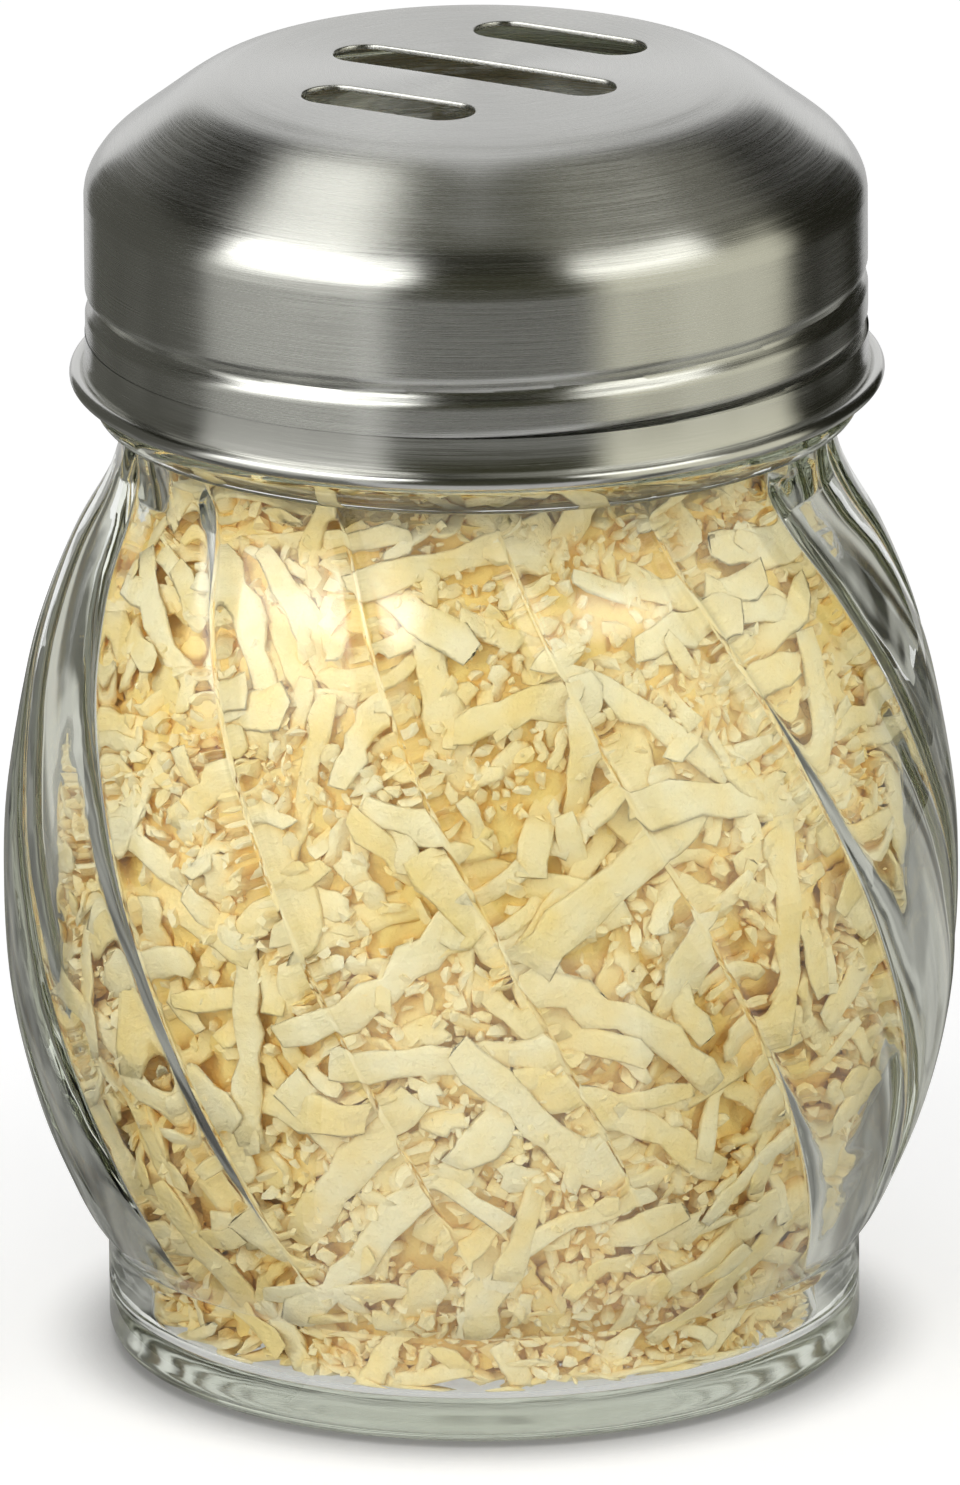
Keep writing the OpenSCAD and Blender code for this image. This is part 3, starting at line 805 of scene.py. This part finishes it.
long_set = piece_set("long_set", [
    strip(rng.uniform(9, 19), rng.uniform(1.8, 3.3), rng.uniform(24, 60),
          rng.uniform(-2.2, 2.2), k) for k in range(20)])
short_set = piece_set("short_set", [
    strip(rng.uniform(4, 8.5), rng.uniform(1.1, 2.3), rng.uniform(15, 50),
          rng.uniform(-0.8, 0.8), 50 + k) for k in range(16)] + [
    flake(rng.uniform(2.5, 4.5), 80 + k) for k in range(4)])
crumb_set = piece_set("crumb_set", [crumb(120 + k) for k in range(8)], 40)
fine_set = piece_set("fine_set", [crumb(140 + k, 1) for k in range(10)], 40)

# %% A node tree that scatters pieces over a surface
tree, size, out = geometry_tree("scatter", [
    ("Pieces", "Collection"), ("Spacing", "Float"), ("Per area", "Float"), ("Seed", "Int"),
    ("Least size", "Float"), ("Most size", "Float"), ("Tilt", "Float"),
    ("Bareness", "Float"), ("Paleness", "Float"), ("Roughness", "Float"),
    ("Material", "Material")])
patches = node(tree, "ShaderNodeTexNoise", {"Scale": 75.0, "Detail": 1.0})
share = remap(tree, patches.outputs[0], size["Bareness"],
              maths(tree, "ADD", size["Bareness"], 0.06), kind="LINEAR")
spread = node(tree, "GeometryNodeDistributePointsOnFaces", {
    "Mesh": size["Geometry"], "Distance Min": size["Spacing"], "Density Max": size["Per area"],
    "Density Factor": share, "Seed": size["Seed"]}, distribute_method="POISSON")


def chance(low, high, salt, kind="FLOAT"):
    """A random value for each point, low to high, from the tree's seed and a salt."""
    made = node(tree, "FunctionNodeRandomValue", data_type=kind)
    names = [s for s in made.inputs if s.enabled and s.name in ("Min", "Max")]
    for socket, value in zip(names, (low, high)):
        if isinstance(value, bpy.types.NodeSocket):
            tree.links.new(value, socket)
        else:
            socket.default_value = value
    seeds = [s for s in made.inputs if s.enabled and s.name == "Seed"][0]
    tree.links.new(maths(tree, "ADD", size["Seed"], salt), seeds)
    return [s for s in made.outputs if s.enabled][0]


tilted = product(tree, size["Tilt"], -1.0)
spin = node(tree, "ShaderNodeCombineXYZ", {
    0: chance(tilted, size["Tilt"], 11.0), 1: chance(tilted, size["Tilt"], 23.0),
    2: chance(0.0, 2 * math.pi, 37.0)})
local_turn = node(tree, "FunctionNodeEulerToRotation", {0: spin.outputs[0]})
turned_by = node(tree, "FunctionNodeRotateRotation", {
    0: spread.outputs["Rotation"], 1: local_turn.outputs[0]}, rotation_space="LOCAL")
picks = node(tree, "GeometryNodeCollectionInfo", {
    "Collection": size["Pieces"], "Separate Children": True, "Reset Children": True})
placed = node(tree, "GeometryNodeInstanceOnPoints", {
    "Points": spread.outputs["Points"], "Instance": picks.outputs[0], "Pick Instance": True,
    "Instance Index": chance(0, 1000, 53.0, "INT"), "Rotation": turned_by.outputs[0],
    "Scale": chance(size["Least size"], size["Most size"], 71.0)})
toned = node(tree, "GeometryNodeStoreNamedAttribute", {
    "Geometry": placed.outputs[0], "Name": "tone", "Value": chance(size["Paleness"], maths(
        tree, "ADD", size["Paleness"], 0.6), 97.0)},
    data_type="FLOAT", domain="INSTANCE")
lumps = node(tree, "ShaderNodeTexNoise", {"Scale": 600.0, "Detail": 2.0})
centred = vectors(tree, "SUBTRACT", lumps.outputs["Color"], (0.5, 0.5, 0.5))
crumbled = vectors(tree, "SCALE", centred, size["Roughness"])
finish_tree(tree, toned.outputs[0], size["Material"], out, crumbled)
scatter = tree
print("scatter tree:", len(tree.nodes), "nodes")

# %% Layers of shreds, flakes and crumbs
def strewn(name, layers):
    """Scatters sets over several layers and joins the results into one piece. A layer is its
    depth, set, spacing, least and most size, tilt, bareness, paleness and seed."""
    parts = []
    for depth, group, spacing, least, most, tilt, bareness, paleness, seed in layers:
        host = layer(f"{name}_layer", depth)
        parts.append(grow(host, scatter, {
            "Pieces": group, "Spacing": spacing * MM, "Per area": 2.0 / (spacing * MM) ** 2,
            "Seed": seed, "Least size": least, "Most size": most, "Tilt": math.radians(tilt),
            "Bareness": bareness, "Paleness": paleness, "Roughness": CRUMBLE * MM,
            "Material": shred_cheese}))
    bm = bmesh.new()
    for part in parts:
        bm.from_mesh(part.data)
    mesh = bpy.data.meshes.new(name)
    bm.to_mesh(mesh)
    bm.free()
    mesh.materials.append(shred_cheese)
    for part in parts:
        bpy.data.objects.remove(part)
    piece = press(new_piece(name, mesh))
    print(f"{name}: {len(mesh.polygons)} faces")
    return piece


CRUMBLE = 1.0    # how far the torn surface of a piece wanders
long_pieces = strewn("long_shreds_grated", [
    (0.3, long_set, 8.4, 0.8, 1.15, 10, 0, 0.3, 1),
    (0.9, long_set, 7.2, 0.8, 1.1, 18, 0, 0.2, 2),
    (1.4, long_set, 6.4, 0.7, 1.1, 26, 0, 0.1, 3)])
short_pieces = strewn("flakes_and_bits", [
    (0.7, short_set, 5.4, 0.6, 1.1, 28, 0, 0.4, 4),
    (1.3, short_set, 3.4, 0.7, 1.2, 40, 0, 0.2, 5)])
crumbs = strewn("crumbs_grated", [
    (1.5, crumb_set, 2.9, 0.9, 2.0, 90, 0, 0.2, 6)])
fine_crumbs = strewn("fine_crumbs_grated", [
    (0.9, fine_set, 1.05, 0.4, 1.2, 90, 0.54, 0.4, 7),
    (1.3, fine_set, 1.25, 0.6, 1.6, 90, 0.44, 0.3, 8),
    (1.7, fine_set, 1.9, 0.6, 1.5, 90, 0, 0.3, 9)])
for piece, cad in ((core, "cheese_core"), (long_pieces, "long_shreds"),
                   (short_pieces, "short_shreds"), (crumbs, "crumbs"), (fine_crumbs, None)):
    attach(piece, "jar")
    if cad:
        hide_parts(cad)

# %% [markdown]
# ## Camera
# The photograph was taken through a long lens from about 17.5 degrees above the table. The
# camera stands 2.2 m away, 30 degrees round Z from the frame's front, which is -Y, and is
# rolled by half a degree.

# %% The camera
IMAGE_H, SENSOR_H = 1485, 36
FOCAL_PX, DISTANCE, ELEVATION, AZIMUTH, ROLL = 27662, 2.2, 17.5, 30, 0.46
AIM = Vector((0, 0, 0.0490))


def from_camera(azimuth, elevation, distance, aim=AIM):
    """A point at an angle round from the camera's side of the object. Positive is its right."""
    a, e = math.radians(AZIMUTH + azimuth), math.radians(elevation)
    return aim + distance * Vector((math.sin(a) * math.cos(e), -math.cos(a) * math.cos(e),
                                    math.sin(e)))


lens = bpy.data.cameras.new("long_lens")
lens.sensor_fit = "VERTICAL"
lens.sensor_height = SENSOR_H
lens.lens = FOCAL_PX / IMAGE_H * SENSOR_H
lens.clip_end = 50
camera = bpy.data.objects.new("camera", lens)
camera.location = from_camera(0, ELEVATION, DISTANCE)
look = (AIM - camera.location).to_track_quat("-Z", "Y").to_matrix().to_4x4()
camera.rotation_euler = (look @ Matrix.Rotation(math.radians(-ROLL), 4, "Z")).to_euler()
bpy.context.scene.collection.objects.link(camera)
bpy.context.scene.camera = camera
print("lens:", round(lens.lens), "mm")

# %% [markdown]
# ## Studio
# The table is white. A large soft lamp stands at the front left, a weaker one at the right
# and another behind the camera. Steel and glass show only what stands round them, so a tent
# over the object, which only their reflections and refractions see, is painted with that: a
# bright soft light, a dimmer one, and dark between them. This gives the lid its bands and the
# glass its dark edges. The tent is open at the back, where the white world shows. Real lights
# and black flags would do the same, but a painted tent is one object, and a panel of it moves
# by changing a number.

# %% The table
TABLE_WHITE, PAINTED_SHADOW_REACH = 0.87, 0.007     # its colour, and the reach of the contact shadow painted into it
SEEN_GLOW, PAINTED_LIGHT_THROUGH_GLASS = 0.37, 0.5    # glow added for the camera, and painted light where it is seen through glass


def floor_material():
    """White, with a contact shadow painted where the foot nearly touches it, lifted to white for
    the camera, and given painted light where it is seen through the glass.
    """
    material, tree, out = new_material("white_table")
    path = node(tree, "ShaderNodeLightPath")
    near = node(tree, "ShaderNodeAmbientOcclusion", {"Distance": PAINTED_SHADOW_REACH}, samples=8)
    # painted contact shadow: ambient occlusion darkens the table's colour and glow near the foot
    painted_contact_light = remap(tree, near.outputs["AO"], 0.35, 0.97, 0.25, 1.0, "LINEAR")
    lit = node(tree, "ShaderNodeBsdfDiffuse", {"Color": product(tree, painted_contact_light, TABLE_WHITE)})
    seen = product(tree, path.outputs["Is Camera Ray"], SEEN_GLOW, painted_contact_light)
    # painted light: seen through the glass, the table glows brighter, for light the glass carries
    through = product(tree, path.outputs["Is Transmission Ray"], PAINTED_LIGHT_THROUGH_GLASS)
    glow = node(tree, "ShaderNodeEmission", {"Color": (1, 1, 1, 1), "Strength": maths(
        tree, "ADD", seen, through)})
    both = node(tree, "ShaderNodeAddShader", {0: lit.outputs[0], 1: glow.outputs[0]})
    tree.links.new(both.outputs[0], out.inputs["Surface"])
    return material


mesh = bpy.data.meshes.new("table")
mesh.from_pydata([(-3, -3, 0), (3, -3, 0), (3, 3, 0), (-3, 3, 0)], [], [(0, 1, 2, 3)])
table = new_piece("table", mesh)
table.location = (0, 0, -0.00005)
table.data.materials.append(floor_material())

# %% The lights painted on the tent
TENT_R, TENT_Z = 0.25, 0.09
DARK = (0.022, 0.022, 0.015)
# left, right, low, high and soft edge in degrees, round from the camera and up; then colour
PANELS = [
    (-82, -25, -60, 8, 5, (0.66, 0.66, 0.62)),        # grey under the large light
    (-82, -20, 28, 45, 5, (5.0, 5.0, 4.85)),          # the large soft light at the left
    (-80, -24, 10, 30, 6, (2.2, 2.2, 2.1)),           # its paler lower half
    (-120, -50, 52, 74, 7, (1.8, 1.8, 1.7)),          # a light high on the left
    (34, 98, -60, 28, 6, (0.98, 0.96, 0.78)),         # a warm wall at the right
    (30, 76, 28, 45, 4, (3.0, 3.0, 2.8)),             # the small soft light at the right
    (30, 125, 40, 72, 10, (0.24, 0.235, 0.2)),        # dim over it
    (-25, 32, -60, 40, 6, (0.04, 0.04, 0.022)),       # dark behind the camera
    (-180, 180, 70, 100, 10, (0.12, 0.12, 0.085)),    # the ceiling
    (-150, -84, -60, 30, 6, (0.10, 0.10, 0.09))]      # dim at the far left


def soft_window(tree, value, low, high, soft):
    """1 between low and high, and a soft step to 0 over a width at both ends."""
    return product(tree, remap(tree, value, low - soft, low + soft),
                   remap(tree, value, high + soft, high - soft))


def tent_material():
    """Emission that follows the direction. Light that has bent or bounced before also meets
    a faint streaked haze, as in a room, which keeps the rim of the glass from going black."""
    material, tree, out = new_material("tent")
    where = node(tree, "ShaderNodeTexCoord").outputs["Object"]
    x, y, z = node(tree, "ShaderNodeSeparateXYZ", {0: where}).outputs
    degrees = 180 / math.pi
    around = product(tree, maths(tree, "ARCTAN2", x, product(tree, y, -1.0)), degrees)
    up = product(tree, maths(tree, "ARCSINE", maths(tree, "DIVIDE", z, TENT_R)), degrees)
    light = node(tree, "ShaderNodeCombineXYZ", dict(enumerate(DARK))).outputs[0]
    for left, right, low, high, soft, colour in PANELS:
        share = product(tree, soft_window(tree, around, left, right, soft),
                        soft_window(tree, up, low, high, soft))
        light = vectors(tree, "ADD", light, vectors(tree, "SCALE", colour, share))
    path = node(tree, "ShaderNodeLightPath")
    bent = maths(tree, "GREATER_THAN", path.outputs["Ray Depth"], 1.5)
    tall = vectors(tree, "MULTIPLY", where, (12.0, 12.0, 4.0))
    streaks = node(tree, "ShaderNodeTexNoise", {"Vector": tall, "Scale": 1.0, "Detail": 1})
    streak = remap(tree, streaks.outputs[0], 0.42, 0.60, 0.03, 0.55)
    haze = vectors(tree, "SCALE", (1.0, 1.0, 0.92), product(tree, streak, bent))
    glow = node(tree, "ShaderNodeEmission", {"Color": vectors(tree, "ADD", light, haze)})
    tree.links.new(glow.outputs[0], out.inputs["Surface"])
    return material


# %% The tent
def only_reflected(name, points, faces, material):
    """A mesh that the camera doesn't see, and that lights and shades nothing."""
    mesh = bpy.data.meshes.new(name)
    mesh.from_pydata(points, [], faces)
    mesh.materials.append(material)
    piece = new_piece(name, mesh)
    piece.visible_camera = piece.visible_diffuse = piece.visible_shadow = False
    return piece


def tent(open_from=150, lowest=-20.5, columns=60, rings=24):
    """A part of a ball round the object, from below the table to the top, open at the back."""
    a = np.radians(np.linspace(-open_from, open_from, columns + 1))
    e = np.radians(np.linspace(lowest, 90, rings + 1))
    points = [tuple(TENT_R * np.array([np.sin(u) * np.cos(w), -np.cos(u) * np.cos(w), np.sin(w)]))
              for w in e for u in a]
    m = columns + 1
    faces = [(i * m + j, i * m + j + 1, (i + 1) * m + j + 1, (i + 1) * m + j)
             for i in range(rings) for j in range(columns)]
    piece = only_reflected("tent", points, faces, tent_material())
    piece.location = (0, 0, TENT_Z)
    piece.rotation_euler = (0, 0, math.radians(AZIMUTH))


tent()
print("tent:", len(PANELS), "panels")

# %% Cards on the table
def table_card(name, start, end, near, far, dim, bright, steps=24):
    """A card on the table at the object's side, out of the camera's sight, that glows a dim grey
    and lights nothing: a painted reflection. Soft streaks run outwards over it, and they give
    the rim of the glass its grey streaks."""
    a = np.linspace(start, end, steps + 1)
    points = [tuple(from_camera(x, 0, r, Vector((0, 0, 0.001)))) for r in (near, far) for x in a]
    faces = [(i, i + 1, i + steps + 2, i + steps + 1) for i in range(steps)]
    material, tree, out = new_material(name)
    where = node(tree, "ShaderNodeTexCoord").outputs["Object"]
    radius, angle, z = round_axis(tree, where)
    streaks = node(tree, "ShaderNodeTexNoise", {
        "W": product(tree, angle, 3.5), "Scale": 1.0, "Detail": 1},
        noise_dimensions="1D")
    glow = node(tree, "ShaderNodeEmission", {
        "Color": (1, 1, 0.92, 1),
        "Strength": remap(tree, streaks.outputs[0], 0.35, 0.62, dim, bright)})
    tree.links.new(glow.outputs[0], out.inputs["Surface"])
    only_reflected(name, points, faces, material)


CARD_NEAR, CARD_FAR = 0.033, 0.26
table_card("left_card", -180, -35, CARD_NEAR, CARD_FAR, 0.05, 0.30)
table_card("right_card", 35, 180, CARD_NEAR, CARD_FAR, 0.10, 0.54)
print("cards: 2")

# %% Lamps and world
def soft_light(name, azimuth, elevation, distance, width, height, power):
    """A soft lamp that aims at the object. It lights, and is not itself reflected."""
    lamp = bpy.data.lights.new(name, "AREA")
    lamp.shape, lamp.size, lamp.size_y, lamp.energy = "RECTANGLE", width, height, power
    piece = bpy.data.objects.new(name, lamp)
    piece.location = from_camera(azimuth, elevation, distance)
    piece.rotation_euler = (AIM - piece.location).to_track_quat("-Z", "Y").to_euler()
    piece.visible_glossy = False
    bpy.context.scene.collection.objects.link(piece)


soft_light("key_light", -45, 25, 1.6, 1.1, 1.0, 6.5)
soft_light("fill_light", 60, 30, 1.7, 0.8, 0.8, 3.8)
soft_light("front_light", 0, 20, 1.8, 0.9, 0.7, 3.4)

world = bpy.data.worlds.new("studio")
bpy.context.scene.world = world
world.use_nodes = True
tree = world.node_tree
tree.nodes.clear()
path = node(tree, "ShaderNodeLightPath")
seen = maths(tree, "MAXIMUM", path.outputs["Is Camera Ray"], maths(
    tree, "MAXIMUM", path.outputs["Is Glossy Ray"], path.outputs["Is Transmission Ray"]))
SKY_LIGHT, SKY_SEEN = 0.62, 0.95
level = node(tree, "ShaderNodeMix", {0: seen, 2: SKY_LIGHT, 3: SKY_SEEN}, data_type="FLOAT")
sky = node(tree, "ShaderNodeBackground", {"Color": (1, 1, 1, 1), "Strength": level.outputs[0]})
ending = node(tree, "ShaderNodeOutputWorld")
tree.links.new(sky.outputs[0], ending.inputs[0])
bpy.context.scene.view_settings.view_transform = "Standard"
for kind, bounces in (("max", 32), ("diffuse", 8), ("glossy", 24), ("transmission", 32)):
    setattr(bpy.context.scene.cycles, f"{kind}_bounces", bounces)
print("studio ready")
